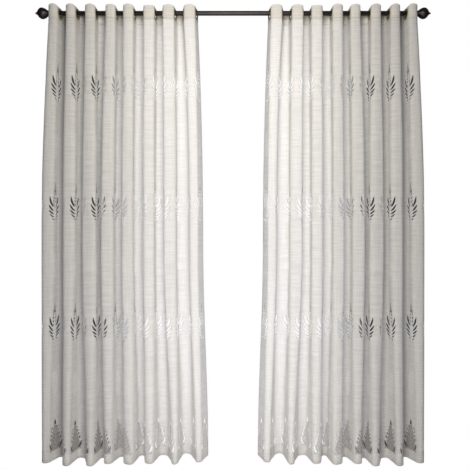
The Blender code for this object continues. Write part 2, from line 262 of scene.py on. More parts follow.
# The floor, the softboxes, each turned squarely to the curtains, the all-round fill light, and the
# photograph's camera
FLOOR_SIZE = 40
FLOOR_BELOW = 18 * MM
Softbox = namedtuple("Softbox", "name place size power colour")
SOFTBOXES = (
    Softbox("upper_key_softbox", (0.0, -1.5, -0.2), (0.7, 1.0), 28, "fff8ee"),
    Softbox("lower_key_softbox", (0.0, -1.6, -2.05), (0.7, 0.8), 20, "fffdfb"),
    Softbox("window_softbox", (0.0, 0.6, -1.05), (1.0, 2.2), 9.5, "eceeff"),
)
FILL_STRENGTH = 0.11
WHITE = (1, 1, 1, 1)
CAMERA_PLACE = (0.011, -2.75, -1.219)
CAMERA_LENS_MM = 38.3


def hex_colour(text):
    """A colour given as sRGB hex, turned linear."""
    shares = [int(text[start:start + 2], 16) / 255 for start in (0, 2, 4)]
    linear = [s / 12.92 if s <= 0.04045 else ((s + 0.055) / 1.055) ** 2.4 for s in shares]
    return (*linear, 1.0)


def add_node(tree, kind, inputs=(), **settings):
    """A shader node with its settings, and with values or other nodes on its inputs.

    The inputs are a dict, or a tuple in the order of the node's sockets. A node given as an
    input stands for its first output.
    """
    node = tree.nodes.new("ShaderNode" + kind)
    for name, value in settings.items():
        setattr(node, name, value)
    for socket, value in inputs.items() if isinstance(inputs, dict) else enumerate(inputs):
        if isinstance(value, bpy.types.Node):
            value = value.outputs[0]
        if isinstance(value, bpy.types.NodeSocket):
            tree.links.new(value, node.inputs[socket])
        else:
            node.inputs[socket].default_value = value
    return node


def new_material(name):
    """An empty material with its output node."""
    material = bpy.data.materials.new(name)
    material.use_nodes = True
    material.node_tree.nodes.clear()
    return material, material.node_tree, add_node(material.node_tree, "OutputMaterial")


def mix(a, b, t):
    return a + (b - a) * t


def smooth(t):
    return t * t * (3.0 - 2.0 * t)


def slowing(t):
    return t * (2.0 - t)


# Folds in plan: points (x, y, rise) from the outer edge to the inner one. The cloth turns
# round a crest in front and a crease behind, and each turn has five points: the foot where
# the flank before it ends, a shoulder, its top, a shoulder, and the next foot.


def shoulder_point(top, foot, shoulder):
    x = mix(top[0], foot[0], shoulder)
    y = mix(top[1], foot[1], 1 - shoulder)
    return (x, y, mix(top[2], foot[2], 0.5))


def turn_points(before, top, after, shoulder):
    left, right = shoulder_point(top, before, shoulder), shoulder_point(top, after, shoulder)
    return [before, left, top, right, after]


def bend_depth(half_width, length, shoulder):
    """Depth of a half turn of two chords that is half_width wide and takes a length of cloth."""
    low, high = 0.0, length
    for _ in range(HALVINGS):
        depth = (low + high) / 2
        first = math.hypot(shoulder * half_width, (1 - shoulder) * depth)
        second = math.hypot((1 - shoulder) * half_width, shoulder * depth)
        if first + second < length:
            low = depth
        else:
            high = depth
    return low


def head_turn(left, right, flat_y, dip):
    """A turn between two eyelets: in front of the rod where flat_y is negative, else behind."""
    shoulder = math.sqrt(0.5)
    half = (right - left) / 2
    depth = abs(flat_y) + bend_depth(half, EYELET_PITCH / 2 - HEAD_FLAT, shoulder)
    top = (left + half, math.copysign(depth, flat_y), -dip)
    return turn_points((left, flat_y, 0.0), top, (right, flat_y, 0.0), shoulder)


def head_plan():
    """Folds where the cloth hangs on its eyelets, with a straight flank by each eyelet."""
    first, last = HEAD_FOLDS[0], HEAD_FOLDS[-1]
    points = [(-first.eyelet_out - first.lean, EYELET_MARGIN, 0.0)]
    for index, fold in enumerate(HEAD_FOLDS):
        left = -fold.eyelet_out + fold.lean
        right = -fold.eyelet_in - fold.lean
        points += head_turn(left, right, -HEAD_FLAT, fold.dip)
        if index + 1 < len(HEAD_FOLDS):
            following = HEAD_FOLDS[index + 1]
            left = -fold.eyelet_in + fold.lean
            right = -following.eyelet_out - following.lean
            points += head_turn(left, right, HEAD_FLAT, 0.0)
    points.append((-last.eyelet_in + last.lean, EYELET_MARGIN, 0.0))
    return points


def top_plan():
    """The folds at the top edge, which dips from the top of each turn to its feet."""
    turns = (len(HEAD_FOLDS) * 2 - 1) * TURN_DIPS
    dips = (FLANK_DIP, *turns, FLANK_DIP)
    return [(x, y, rise - dip) for (x, y, rise), dip in zip(head_plan(), dips)]


def free_plan(folds, outer_edge, wave):
    """Folds that hang free. The last fold's crease is the cloth's inner edge."""
    points = [(-outer_edge[0], outer_edge[1], folds[0].crease_rise)]
    for index, fold in enumerate(folds):
        depth = fold.front + fold.back
        foot_y = -fold.front + wave.crest_bend * depth
        foot_rise = mix(fold.crest_rise, fold.crease_rise, wave.crest_bend)
        crest = (-fold.crest, -fold.front, fold.crest_rise)
        before = (-fold.face_out, foot_y, foot_rise)
        after = (-fold.face_in, foot_y, foot_rise)
        points += turn_points(before, crest, after, wave.shoulder)
        crease = (-fold.crease, fold.back, fold.crease_rise)
        if index + 1 < len(folds):
            following = folds[index + 1]
            foot_y = fold.back - wave.crease_bend * depth
            foot_rise = mix(fold.crease_rise, fold.crest_rise, wave.crease_bend)
            before = (-mix(fold.crease, fold.face_in, wave.crease_share), foot_y, foot_rise)
            after = (-mix(fold.crease, following.face_out, wave.crease_share), foot_y, foot_rise)
            points += turn_points(before, crease, after, wave.shoulder)
        else:
            points.append(crease)
    return points


def mid_plan():
    folds = [
        HemFold(
            fold.face_out, (fold.face_out + fold.face_in) / 2, fold.face_in, fold.crease,
            MID_FRONT, MID_BACK, 0.0, 0.0,
        )
        for fold in MID_FOLDS
    ]
    return free_plan(folds, MID_OUTER_EDGE, MID_WAVE)


def plans_at(depths):
    """Plans of the folds at depths below the top edge: an array of rows, points and x, y, rise."""
    top = np.array(top_plan())
    head = np.array(head_plan())
    mid = np.array(mid_plan())
    hem = np.array(free_plan(HEM_FOLDS, HEM_OUTER_EDGE, HEM_WAVE))
    rows = []
    for depth in depths:
        if depth <= TOP_MARGIN:
            rows.append(mix(top, head, depth / TOP_MARGIN))
        elif depth <= HEAD_DEPTH:
            rows.append(head)
        elif depth <= MID_DEPTH:
            rows.append(mix(head, mid, slowing((depth - HEAD_DEPTH) / (MID_DEPTH - HEAD_DEPTH))))
        else:
            rows.append(mix(mid, hem, smooth((depth - MID_DEPTH) / (PANEL_LENGTH - MID_DEPTH))))
    return np.array(rows)


def rounded(plan):
    """A plan's turns made round and its flanks kept straight. Returns across, x, y and rise."""
    flat = plan[:, :2]
    chords = np.linalg.norm(np.diff(flat, axis=0), axis=1)
    across = np.concatenate(([0.0], np.cumsum(chords)))
    across *= PANEL_WIDTH / across[-1]
    heading = np.zeros_like(plan)
    heading[1:-1] = plan[2:] - plan[:-2]
    heading[0] = plan[1] - plan[0]
    heading[-1] = plan[-1] - plan[-2]
    for foot in range(1, len(plan) - 1, TURN_POINTS):
        last = foot + TURN_POINTS - 1
        heading[foot] = plan[foot] - plan[foot - 1]
        heading[last] = plan[last + 1] - plan[last]
    heading /= np.linalg.norm(heading[:, :2], axis=1)[:, None]
    t = (np.arange(CURVE_STEPS) / CURVE_STEPS)[None, :, None]
    start, end = plan[:-1, None], plan[1:, None]
    leave = heading[:-1, None] * chords[:, None, None]
    arrive = heading[1:, None] * chords[:, None, None]
    curve = (
        (2 * t**3 - 3 * t**2 + 1) * start + (t**3 - 2 * t**2 + t) * leave
        + (3 * t**2 - 2 * t**3) * end + (t**3 - t**2) * arrive
    )
    curve = np.vstack((curve.reshape(-1, 3), plan[-1]))
    widths = np.vstack([mix(across[:-1], across[1:], step) for step in t[0, :, 0]]).T.reshape(-1)
    return np.concatenate((widths, across[-1:])), curve


class Drape:
    """Maps flat cloth, across and down, to its hung place, or to one set back from it."""

    def __init__(self, depths, back=0.0):
        self.depths = np.array(depths)
        self.curves = [rounded(plan) for plan in plans_at(self.depths)]
        self.back = back

    def on_row(self, row, across):
        """Places at points across one row of depths, and the way to the cloth's back there."""
        widths, curve = self.curves[row]
        place = np.stack([np.interp(across, widths, curve[:, axis]) for axis in range(3)], axis=-1)
        ahead, behind = across + DIRECTION_STEP, across - DIRECTION_STEP
        nose = np.stack([np.interp(ahead, widths, curve[:, axis]) for axis in range(2)], axis=-1)
        tail = np.stack([np.interp(behind, widths, curve[:, axis]) for axis in range(2)], axis=-1)
        run = nose - tail
        run /= np.linalg.norm(run, axis=-1)[..., None]
        return place, np.stack((-run[..., 1], run[..., 0]), axis=-1)

    def places(self, flat):
        """Hung places of flat points, an array of across and down."""
        across, down = flat[:, 0], flat[:, 1]
        rows = np.clip(np.searchsorted(self.depths, down, side="right") - 1, 0, len(self.depths) - 2)
        made = np.zeros((len(flat), 3))
        for row in range(len(self.depths) - 1):
            here = rows == row
            if not here.any():
                continue
            above, below = self.depths[row], self.depths[row + 1]
            share = ((down[here] - above) / (below - above))[:, None]
            upper, upper_back = self.on_row(row, across[here])
            lower, lower_back = self.on_row(row + 1, across[here])
            place = mix(upper, lower, share)
            backward = mix(upper_back, lower_back, share)
            push = self.back - crease_height(across[here], down[here])
            place[:, :2] += backward * push[:, None]
            place[:, 2] += TOP_EDGE - down[here]
            made[here] = place
        return made


def crease_height(across, down):
    """How far the soft creases push the cloth towards its face."""
    height = np.zeros_like(across)
    for crease in SOFT_CREASES:
        along = (down - crease.top) / (crease.foot - crease.top)
        fade = np.clip(np.minimum(along, 1 - along) * CREASE_FADE, 0, 1)
        middle = crease.across + crease.drift * np.clip(along, 0, 1)
        height += crease.height * fade * np.exp(-(((across - middle) / crease.width) ** 2))
    return height


# Open places in the flat cloth


def eyelet_positions():
    return [EYELET_MARGIN + index * EYELET_PITCH for index in range(EYELETS)]


def eyelet_holes():
    turns = [2 * math.pi * side / CLOTH_HOLE_SIDES for side in range(CLOTH_HOLE_SIDES)]
    rim = [(CLOTH_HOLE_RADIUS * math.cos(turn), CLOTH_HOLE_RADIUS * math.sin(turn)) for turn in turns]
    return [[(across + x, EYELET_BELOW_EDGE + y) for x, y in rim] for across in eyelet_positions()]


def slit_outline(slit, side):
    """A curved slit, pointed at both ends, as (out, down) in metres."""
    foot, belly, point = (Vector(corner) * MM for corner in (slit.foot, slit.belly, slit.point))
    bend = 2 * belly - (foot + point) / 2
    edges = ([], [])
    for step in range(1, SLIT_STEPS):
        t = step / SLIT_STEPS
        centre = (1 - t) ** 2 * foot + 2 * t * (1 - t) * bend + t**2 * point
        run = (2 * (1 - t) * (bend - foot) + 2 * t * (point - bend)).normalized()
        half = slit.width * MM / 2 * math.sin(math.pi * t) ** SLIT_FULLNESS
        out = Vector((-run.y, run.x)) * half
        edges[0].append(centre + out)
        edges[1].append(centre - out)
    outline = [foot] + edges[0] + [point] + edges[1][::-1]
    return [(side * corner.x, corner.y) for corner in outline]


def leaf_holes():
    """Slits of the rows of leaves, and the tip hole and slits of the row that runs into the hem."""
    holes = []
    for across in eyelet_positions():
        axis = across + LEAF_SHIFT
        for row in range(LEAF_ROWS + 1):
            top = LEAF_TOP + row * LEAF_ROW_PITCH
            slits = LEAF_SLITS if row < LEAF_ROWS else HEM_SLITS
            outlines = [slit_outline(slit, side) for slit in slits for side in (-1, 1)]
            if row == LEAF_ROWS:
                outlines.append([(out * MM, down * MM) for out, down in TIP_HOLE])
            holes += [[(axis + out, top + down) for out, down in outline] for outline in outlines]
    inside = (EDGE_KEEP, PANEL_WIDTH - EDGE_KEEP)
    return [hole for hole in holes if all(inside[0] < point[0] < inside[1] for point in hole)]


def counter_clockwise(outline):
    area = sum(a[0] * b[1] - b[0] * a[1] for a, b in zip(outline, outline[1:] + outline[:1]))
    return outline if area > 0 else outline[::-1]


def cut_cloth(width_points, depths, holes):
    """Flat points and triangles of a sheet with its holes."""
    points = [Vector((across, down)) for down in depths for across in width_points]
    outlines = []
    for hole in holes:
        first = len(points)
        points += [Vector(point) for point in counter_clockwise(hole)]
        outlines.append(list(range(first, len(points))))
    corners, _, faces, _, _, sources = delaunay_2d_cdt(points, [], outlines, 0, MERGE_DISTANCE)
    kept = [face for face, source in zip(faces, sources) if not source]
    used = sorted({corner for face in kept for corner in face})
    number = {corner: index for index, corner in enumerate(used)}
    flat = np.array([corners[corner][:] for corner in used])
    return flat, [[number[corner] for corner in face] for face in kept]


def hang_sheet(name, flat, faces, places, mirror, thickness, material):
    """A hung sheet as one piece, with its flat place in metres as the UV map called cloth."""
    if mirror:
        places = places * np.array((-1.0, 1.0, 1.0))
    else:
        faces = [face[::-1] for face in faces]
    mesh = bpy.data.meshes.new(name)
    mesh.from_pydata(places.tolist(), [], faces)
    mesh.uv_layers.new(name="cloth")
    corners = np.zeros(len(mesh.loops), dtype=np.int32)
    mesh.loops.foreach_get("vertex_index", corners)
    mesh.uv_layers["cloth"].data.foreach_set("uv", flat[corners].astype(np.float32).ravel())
    mesh.materials.append(material)
    mesh.shade_smooth()
    sheet = bpy.data.objects.new(name, mesh)
    bpy.context.scene.collection.objects.link(sheet)
    wall = sheet.modifiers.new("Thickness", "SOLIDIFY")
    wall.thickness = thickness
    wall.offset = 0.0
    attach(sheet, BODY)
    return sheet


def add_panels(material):
    """The two voile panels, with all their holes and slits."""
    margin = [TOP_MARGIN * row / MARGIN_ROWS for row in range(MARGIN_ROWS)]
    rows = round((PANEL_LENGTH - TOP_MARGIN) / ROW_PITCH)
    depths = margin + [mix(TOP_MARGIN, PANEL_LENGTH, row / rows) for row in range(rows + 1)]
    widths = [PANEL_WIDTH * column / COLUMNS for column in range(COLUMNS + 1)]
    flat, faces = cut_cloth(widths, depths, eyelet_holes() + leaf_holes())
    places = Drape(depths).places(flat)
    for side, mirror in (("left", False), ("right", True)):
        name = "voile_panel_" + side
        panel = hang_sheet(name, flat, faces, places, mirror, VOILE_THICKNESS, material)
        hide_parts("panel_" + side)


def add_headings(material):
    """The stiff bands behind the panels' heads, which the eyelets go through too."""
    foot = HEADING_INSET + HEADING_HEIGHT
    depths = [mix(HEADING_INSET, foot, row / HEADING_ROWS) for row in range(HEADING_ROWS + 1)]
    widths = [PANEL_WIDTH * column / COLUMNS for column in range(COLUMNS + 1)]
    flat, faces = cut_cloth(widths, depths, eyelet_holes())
    places = Drape(depths, HEADING_BACK).places(flat)
    for side, mirror in (("left", False), ("right", True)):
        name = "heading_band_" + side
        band = hang_sheet(name, flat, faces, places, mirror, HEADING_THICKNESS, material)
        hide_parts("heading_" + side)


# How the voile is worked, in metres of flat cloth where no other unit is named
WEFT_SLUBS_A_METRE = (9.0, 150.0, 1.0)
WARP_SLUBS_A_METRE = (190.0, 6.0, 1.0)
NET_MESHES_A_METRE = 165.0
NET_FLARE = 0.26
NET_END = 62 * MM
HEM_NET_END = 172 * MM
LEAF_MIDDLE = 132 * MM
LEAF_HALF_WIDTH = 50 * MM
LEAF_HALF_HEIGHT = 92 * MM
STEM_FOOT = 232 * MM
VEIN_SLOPE = 0.85
VEIN_SPACING = 19 * MM
SPRIG_MIDDLE = 455 * MM
SPRIG_HALF_WIDTH = 26 * MM
SPRIG_HALF_HEIGHT = 74 * MM
BARB_SLOPE = 1.1
BARB_SPACING = 16 * MM
FOOT_HEM = 54 * MM
SIDE_HEM = 26 * MM
RIDGE_SPACING = 9 * MM
SEAM_DOWN = HEADING_INSET + HEADING_HEIGHT - 2 * MM

# Settings of a Map Range node that eases from 0 to 1, and the Mix node's colour sockets
EASED = {"interpolation_type": "SMOOTHSTEP"}
MIX_FIRST = 6
MIX_SECOND = 7
MIX_RESULT = 2


def voile_material():
    """Polyester voile with cut leaves: thin off-white cloth that lets a fifth of the light past.

    Slubs run across it, the leaves are stitched round open slits over a sheer net, a tonal sprig
    is worked between the rows, and its hems lie double.
    """
    material, tree, output = new_material("off_white_polyester_voile")
    cloth = add_node(tree, "UVMap", uv_map="cloth")
    flat = add_node(tree, "SeparateXYZ", (cloth,))
    across, down = flat.outputs["X"], flat.outputs["Y"]

    # Yarns are 0.3 mm apart. Their slubs are drawn 5 to 7 mm apart and 110 to 170 mm long, coarser
    # than real ones, so that they show
    weft_place = add_node(tree, "Mapping", {"Vector": cloth, "Scale": WEFT_SLUBS_A_METRE})
    weft_grain = {"Vector": weft_place, "Scale": 1.0, "Detail": 3.0}
    weft = add_node(tree, "TexNoise", weft_grain, noise_dimensions="2D")
    warp_place = add_node(tree, "Mapping", {"Vector": cloth, "Scale": WARP_SLUBS_A_METRE})
    warp_grain = {"Vector": warp_place, "Scale": 1.0, "Detail": 2.0}
    warp = add_node(tree, "TexNoise", warp_grain, noise_dimensions="2D")
    weft_share = add_node(tree, "Math", (weft, 0.65), operation="MULTIPLY")
    warp_share = add_node(tree, "Math", (warp, 0.35), operation="MULTIPLY")
    slubs = add_node(tree, "Math", (weft_share, warp_share), operation="ADD")
    slub = add_node(tree, "MapRange", (slubs, 0.36, 0.64), **EASED)

    # Place on a leaf: out from its stem, and down from its tip
    from_stem = add_node(tree, "Math", (across, EYELET_MARGIN + LEAF_SHIFT), operation="SUBTRACT")
    nearest = add_node(tree, "Math", (from_stem, EYELET_PITCH / 2, -EYELET_PITCH / 2), operation="WRAP")
    out = add_node(tree, "Math", (nearest,), operation="ABSOLUTE")
    below_tip = add_node(tree, "Math", (down, LEAF_TOP), operation="SUBTRACT")
    on_row = add_node(tree, "Math", (below_tip, LEAF_ROW_PITCH, 0.0), operation="WRAP")
    below_first = add_node(tree, "MapRange", (down, LEAF_TOP - 4 * MM, LEAF_TOP), **EASED)
    hem_row_top = LEAF_TOP + LEAF_ROWS * LEAF_ROW_PITCH
    hem_row = add_node(tree, "MapRange", (down, hem_row_top - 8 * MM, hem_row_top), **EASED)

    # Sheer net in the tip of each leaf, and all down the middle of the leaves in the hem row
    net_width = add_node(tree, "Math", (on_row, NET_FLARE, 1.5 * MM), operation="MULTIPLY_ADD")
    net_end = add_node(tree, "Math", (hem_row, HEM_NET_END - NET_END, NET_END), operation="MULTIPLY_ADD")
    inside_net = add_node(tree, "Math", (net_width, out), operation="SUBTRACT")
    above_end = add_node(tree, "Math", (net_end, on_row), operation="SUBTRACT")
    net_across = add_node(tree, "MapRange", (inside_net, 0.0, 1.5 * MM), **EASED)
    net_down = add_node(tree, "MapRange", (above_end, 0.0, 2 * MM), **EASED)
    net = add_node(tree, "Math", (net_across, net_down), operation="MULTIPLY")
    net = add_node(tree, "Math", (net, below_first), operation="MULTIPLY")

    # Net meshes are 2 mm wide. They are drawn 6 mm wide, so that the hem row's speckle shows
    net_cells = {"Vector": cloth, "Scale": NET_MESHES_A_METRE}
    from_mesh = add_node(tree, "TexVoronoi", net_cells, voronoi_dimensions="2D").outputs["Distance"]
    speckle = add_node(tree, "MapRange", (from_mesh, 0.55, 0.15), **EASED)
    speckle = add_node(tree, "Math", (speckle, net), operation="MULTIPLY")

    # Stitched veins, which run up and out from the stem between the slits, within an oval
    leaf_out = add_node(tree, "Math", (out, LEAF_HALF_WIDTH), operation="DIVIDE")
    leaf_out = add_node(tree, "Math", (leaf_out, 2.0), operation="POWER")
    leaf_down = add_node(tree, "Math", (on_row, LEAF_MIDDLE), operation="SUBTRACT")
    leaf_down = add_node(tree, "Math", (leaf_down, LEAF_HALF_HEIGHT), operation="DIVIDE")
    leaf_down = add_node(tree, "Math", (leaf_down, 2.0), operation="POWER")
    leaf = add_node(tree, "Math", (leaf_out, leaf_down), operation="ADD")
    leaf = add_node(tree, "MapRange", (leaf, 1.0, 0.9), **EASED)
    slant = add_node(tree, "Math", (out, VEIN_SLOPE, on_row), operation="MULTIPLY_ADD")
    vein = add_node(tree, "Math", (slant, 2 * math.pi / VEIN_SPACING), operation="MULTIPLY")
    vein = add_node(tree, "Math", (vein,), operation="SINE")
    vein = add_node(tree, "MapRange", (vein, 0.35, 0.95), **EASED)
    vein = add_node(tree, "Math", (vein, leaf), operation="MULTIPLY")
    stem_across = add_node(tree, "MapRange", (out, 2.6 * MM, 1.2 * MM), **EASED)
    stem_down = add_node(tree, "MapRange", (on_row, STEM_FOOT + 4 * MM, STEM_FOOT), **EASED)
    stem = add_node(tree, "Math", (stem_across, stem_down), operation="MULTIPLY")
    vein = add_node(tree, "Math", (vein, stem), operation="MAXIMUM")
    vein = add_node(tree, "Math", (vein, below_first), operation="MULTIPLY")

    # Tonal sprig between two rows of leaves: barbs within an oval
    sprig_out = add_node(tree, "Math", (out, SPRIG_HALF_WIDTH), operation="DIVIDE")
    sprig_out = add_node(tree, "Math", (sprig_out, 2.0), operation="POWER")
    sprig_down = add_node(tree, "Math", (on_row, SPRIG_MIDDLE), operation="SUBTRACT")
    sprig_down = add_node(tree, "Math", (sprig_down, SPRIG_HALF_HEIGHT), operation="DIVIDE")
    sprig_down = add_node(tree, "Math", (sprig_down, 2.0), operation="POWER")
    oval = add_node(tree, "Math", (sprig_out, sprig_down), operation="ADD")
    oval = add_node(tree, "MapRange", (oval, 1.0, 0.8), **EASED)
    barb = add_node(tree, "Math", (out, BARB_SLOPE, on_row), operation="MULTIPLY_ADD")
    barb = add_node(tree, "Math", (barb, 2 * math.pi / BARB_SPACING), operation="MULTIPLY")
    barb = add_node(tree, "Math", (barb,), operation="SINE")
    barb = add_node(tree, "MapRange", (barb, -0.4, 0.6), **EASED)
    sprig = add_node(tree, "Math", (oval, barb), operation="MULTIPLY")
    sprig = add_node(tree, "Math", (sprig, below_first), operation="MULTIPLY")
    worked = add_node(tree, "Math", (vein, sprig), operation="MAXIMUM")

    # Double hems at the sides and foot, the foot's ridges, and the line that holds the heading band
    foot_hem_edge = PANEL_LENGTH - FOOT_HEM
    foot_hem = add_node(tree, "MapRange", (down, foot_hem_edge - 2 * MM, foot_hem_edge), **EASED)
    outer_hem = add_node(tree, "MapRange", (across, SIDE_HEM, SIDE_HEM - 2 * MM), **EASED)
    inner_hem_edge = PANEL_WIDTH - SIDE_HEM
    inner_hem = add_node(tree, "MapRange", (across, inner_hem_edge, inner_hem_edge + 2 * MM), **EASED)
    side_hem = add_node(tree, "Math", (outer_hem, inner_hem), operation="MAXIMUM")
    double = add_node(tree, "Math", (foot_hem, side_hem), operation="MAXIMUM")
    ridge = add_node(tree, "Math", (down, 2 * math.pi / RIDGE_SPACING), operation="MULTIPLY")
    ridge = add_node(tree, "Math", (ridge,), operation="SINE")
    ridge = add_node(tree, "MapRange", (ridge, -0.2, 0.9), **EASED)
    ridge = add_node(tree, "Math", (ridge, foot_hem), operation="MULTIPLY")
    from_seam = add_node(tree, "Math", (down, SEAM_DOWN), operation="SUBTRACT")
    from_seam = add_node(tree, "Math", (from_seam,), operation="ABSOLUTE")
    seam = add_node(tree, "MapRange", (from_seam, 2.4 * MM, 1.0 * MM), **EASED)

    # Slubs are a little lighter, stitched work lighter still, and ridges, seam and net meshes darker
    yarns = {"Factor": slub, MIX_FIRST: hex_colour("ecebe7"), MIX_SECOND: hex_colour("f4f3f0")}
    yarn_colour = add_node(tree, "Mix", yarns, data_type="RGBA").outputs[MIX_RESULT]
    stitched = add_node(tree, "Math", (worked, 0.6), operation="MULTIPLY")
    threads = {"Factor": stitched, MIX_FIRST: yarn_colour, MIX_SECOND: hex_colour("fbfaf6")}
    thread_colour = add_node(tree, "Mix", threads, data_type="RGBA").outputs[MIX_RESULT]
    ridge_shade = add_node(tree, "Math", (ridge, 0.35), operation="MULTIPLY")
    seam_shade = add_node(tree, "Math", (seam, 0.4), operation="MULTIPLY")
    mesh_shade = add_node(tree, "Math", (speckle, 0.9), operation="MULTIPLY")
    shade = add_node(tree, "Math", (ridge_shade, seam_shade), operation="MAXIMUM")
    shade = add_node(tree, "Math", (shade, mesh_shade), operation="MAXIMUM")
    shades = {"Factor": shade, MIX_FIRST: thread_colour, MIX_SECOND: hex_colour("a59b8b")}
    colour = add_node(tree, "Mix", shades, data_type="RGBA").outputs[MIX_RESULT]

    # How much each place holds back
    solid = add_node(tree, "Math", (slub, 0.05, VOILE_COVER), operation="MULTIPLY_ADD")
    solid = add_node(tree, "Math", (worked, 0.10, solid), operation="MULTIPLY_ADD")
    solid = add_node(tree, "Math", (double, 0.16, solid), operation="MULTIPLY_ADD")
    solid = add_node(tree, "Math", (net, NET_COVER - VOILE_COVER, solid), operation="MULTIPLY_ADD")
    solid = add_node(tree, "Math", (speckle, 0.2, solid), operation="MULTIPLY_ADD")

    relief = add_node(tree, "Math", (worked, 0.8, slub), operation="MULTIPLY_ADD")
    relief = add_node(tree, "Math", (ridge, 1.2, relief), operation="MULTIPLY_ADD")
    relief = add_node(tree, "Math", (relief, seam), operation="SUBTRACT")
    bump = add_node(tree, "Bump", {"Strength": 0.35, "Distance": 0.6 * MM, "Height": relief})

    shader = add_node(tree, "BsdfPrincipled", {
        "Base Color": colour,
        "Roughness": 0.85,
        "Specular IOR Level": 0.25,
        "Alpha": solid,
        "Normal": bump,
    })
    glow = add_node(tree, "BsdfTranslucent", {"Color": colour, "Normal": bump})
    both = add_node(tree, "MixShader", (0.3, shader, glow))
    tree.links.new(both.outputs[0], output.inputs["Surface"])
    return material


def heading_material():
    """Stiffened polyester tape: matt and dense, off-white, ribbed across by its weft."""
    material, tree, output = new_material("stiffened_heading_tape")
    cloth = add_node(tree, "UVMap", uv_map="cloth")

    # Ribs are 1 mm apart, drawn 5 mm apart so that they show
    place = add_node(tree, "Mapping", {"Vector": cloth, "Scale": (12.0, 200.0, 1.0)})
    weft_grain = {"Vector": place, "Scale": 1.0, "Detail": 2.0}
    rib = add_node(tree, "TexNoise", weft_grain, noise_dimensions="2D")
    ribs = {"Factor": rib, MIX_FIRST: hex_colour("cfc8ba"), MIX_SECOND: hex_colour("e6e1d6")}
    colour = add_node(tree, "Mix", ribs, data_type="RGBA").outputs[MIX_RESULT]
    bump = add_node(tree, "Bump", {"Strength": 0.4, "Distance": 0.5 * MM, "Height": rib})
    shader = add_node(tree, "BsdfPrincipled", {
        "Base Color": colour,
        "Roughness": 0.9,
        "Specular IOR Level": 0.2,
        "Alpha": 0.85,
        "Normal": bump,
    })
    tree.links.new(shader.outputs[0], output.inputs["Surface"])
    return material


def brass_material():
    """Pressed brass, darkened with age: warm brown metal, worn lighter in patches."""
    material, tree, output = new_material("aged_pressed_brass")
    place = add_node(tree, "TexCoord").outputs["Object"]

    # Patches about 14 mm wide, and a grain of about 1 mm left by the press
    patina = add_node(tree, "TexNoise", {"Vector": place, "Scale": 70.0, "Detail": 3.0})
    grain = add_node(tree, "TexNoise", {"Vector": place, "Scale": 900.0, "Detail": 2.0})
    worn = add_node(tree, "MapRange", {"Value": patina, "From Min": 0.4, "From Max": 0.65})
    wear = {"Factor": worn, MIX_FIRST: hex_colour("857a50"), MIX_SECOND: hex_colour("b3a878")}
    colour = add_node(tree, "Mix", wear, data_type="RGBA").outputs[MIX_RESULT]
    rough = add_node(tree, "MapRange", {"Value": worn, "To Min": 0.5, "To Max": 0.3})
    bump = add_node(tree, "Bump", {"Strength": 0.2, "Distance": 0.1 * MM, "Height": grain})
    shader = add_node(tree, "BsdfPrincipled", {
        "Base Color": colour,
        "Roughness": rough,
        "Metallic": 0.6,
        "Normal": bump,
    })
    tree.links.new(shader.outputs[0], output.inputs["Surface"])
    return material


def bronze_material():
    """Steel tube and turned ends in dark bronze lacquer: near black, satin, slightly mottled."""
    material, tree, output = new_material("dark_bronze_lacquer")
    place = add_node(tree, "TexCoord").outputs["Object"]

    # Mottling about 22 mm wide, and the fine orange peel of sprayed lacquer, 2.5 mm wide
    mottle = add_node(tree, "TexNoise", {"Vector": place, "Scale": 45.0, "Detail": 4.0})
    orange_peel = add_node(tree, "TexNoise", {"Vector": place, "Scale": 400.0, "Detail": 1.0})
    tones = {"Factor": mottle, MIX_FIRST: hex_colour("0f0c0b"), MIX_SECOND: hex_colour("211915")}
    colour = add_node(tree, "Mix", tones, data_type="RGBA").outputs[MIX_RESULT]
    rough = add_node(tree, "MapRange", {"Value": mottle, "To Min": 0.32, "To Max": 0.5})
    bump = add_node(tree, "Bump", {"Strength": 0.15, "Distance": 0.1 * MM, "Height": orange_peel})
    shader = add_node(tree, "BsdfPrincipled", {
        "Base Color": colour,
        "Roughness": rough,
        "Metallic": 0.25,
        "Normal": bump,
    })
    tree.links.new(shader.outputs[0], output.inputs["Surface"])
    return material


# Hard pieces, each finished at the origin with its place in its mesh


def deselect_all():
    for old in bpy.context.selected_objects:
        old.select_set(False)


def finish_hard(piece, name, replaced, material):
    """Names a hard piece, gives it its finish and hides the CAD node that it replaces."""
    piece.name = name
    piece.data.name = name
    piece.data.materials.clear()
    piece.data.materials.append(material)
    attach(piece, BODY)
    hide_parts(replaced)


def add_rod(material):
    """A plain round rod with broken edges."""
    deselect_all()
    bpy.ops.mesh.primitive_cylinder_add(
        vertices=ROD_SIDES, radius=ROD_RADIUS, depth=ROD_LENGTH, rotation=ALONG_ROD
    )
    bpy.ops.object.transform_apply(location=True, rotation=True, scale=True)
    rod = bpy.context.active_object
    edge = rod.modifiers.new("Broken edge", "BEVEL")
    edge.width = ROD_EDGE
    edge.segments = 2
    edge.limit_method = "ANGLE"
    bpy.ops.object.modifier_apply(modifier=edge.name)
    bpy.ops.object.shade_smooth_by_angle(angle=ROD_SMOOTH_ANGLE)
    finish_hard(rod, "curtain_rod", "rod", material)


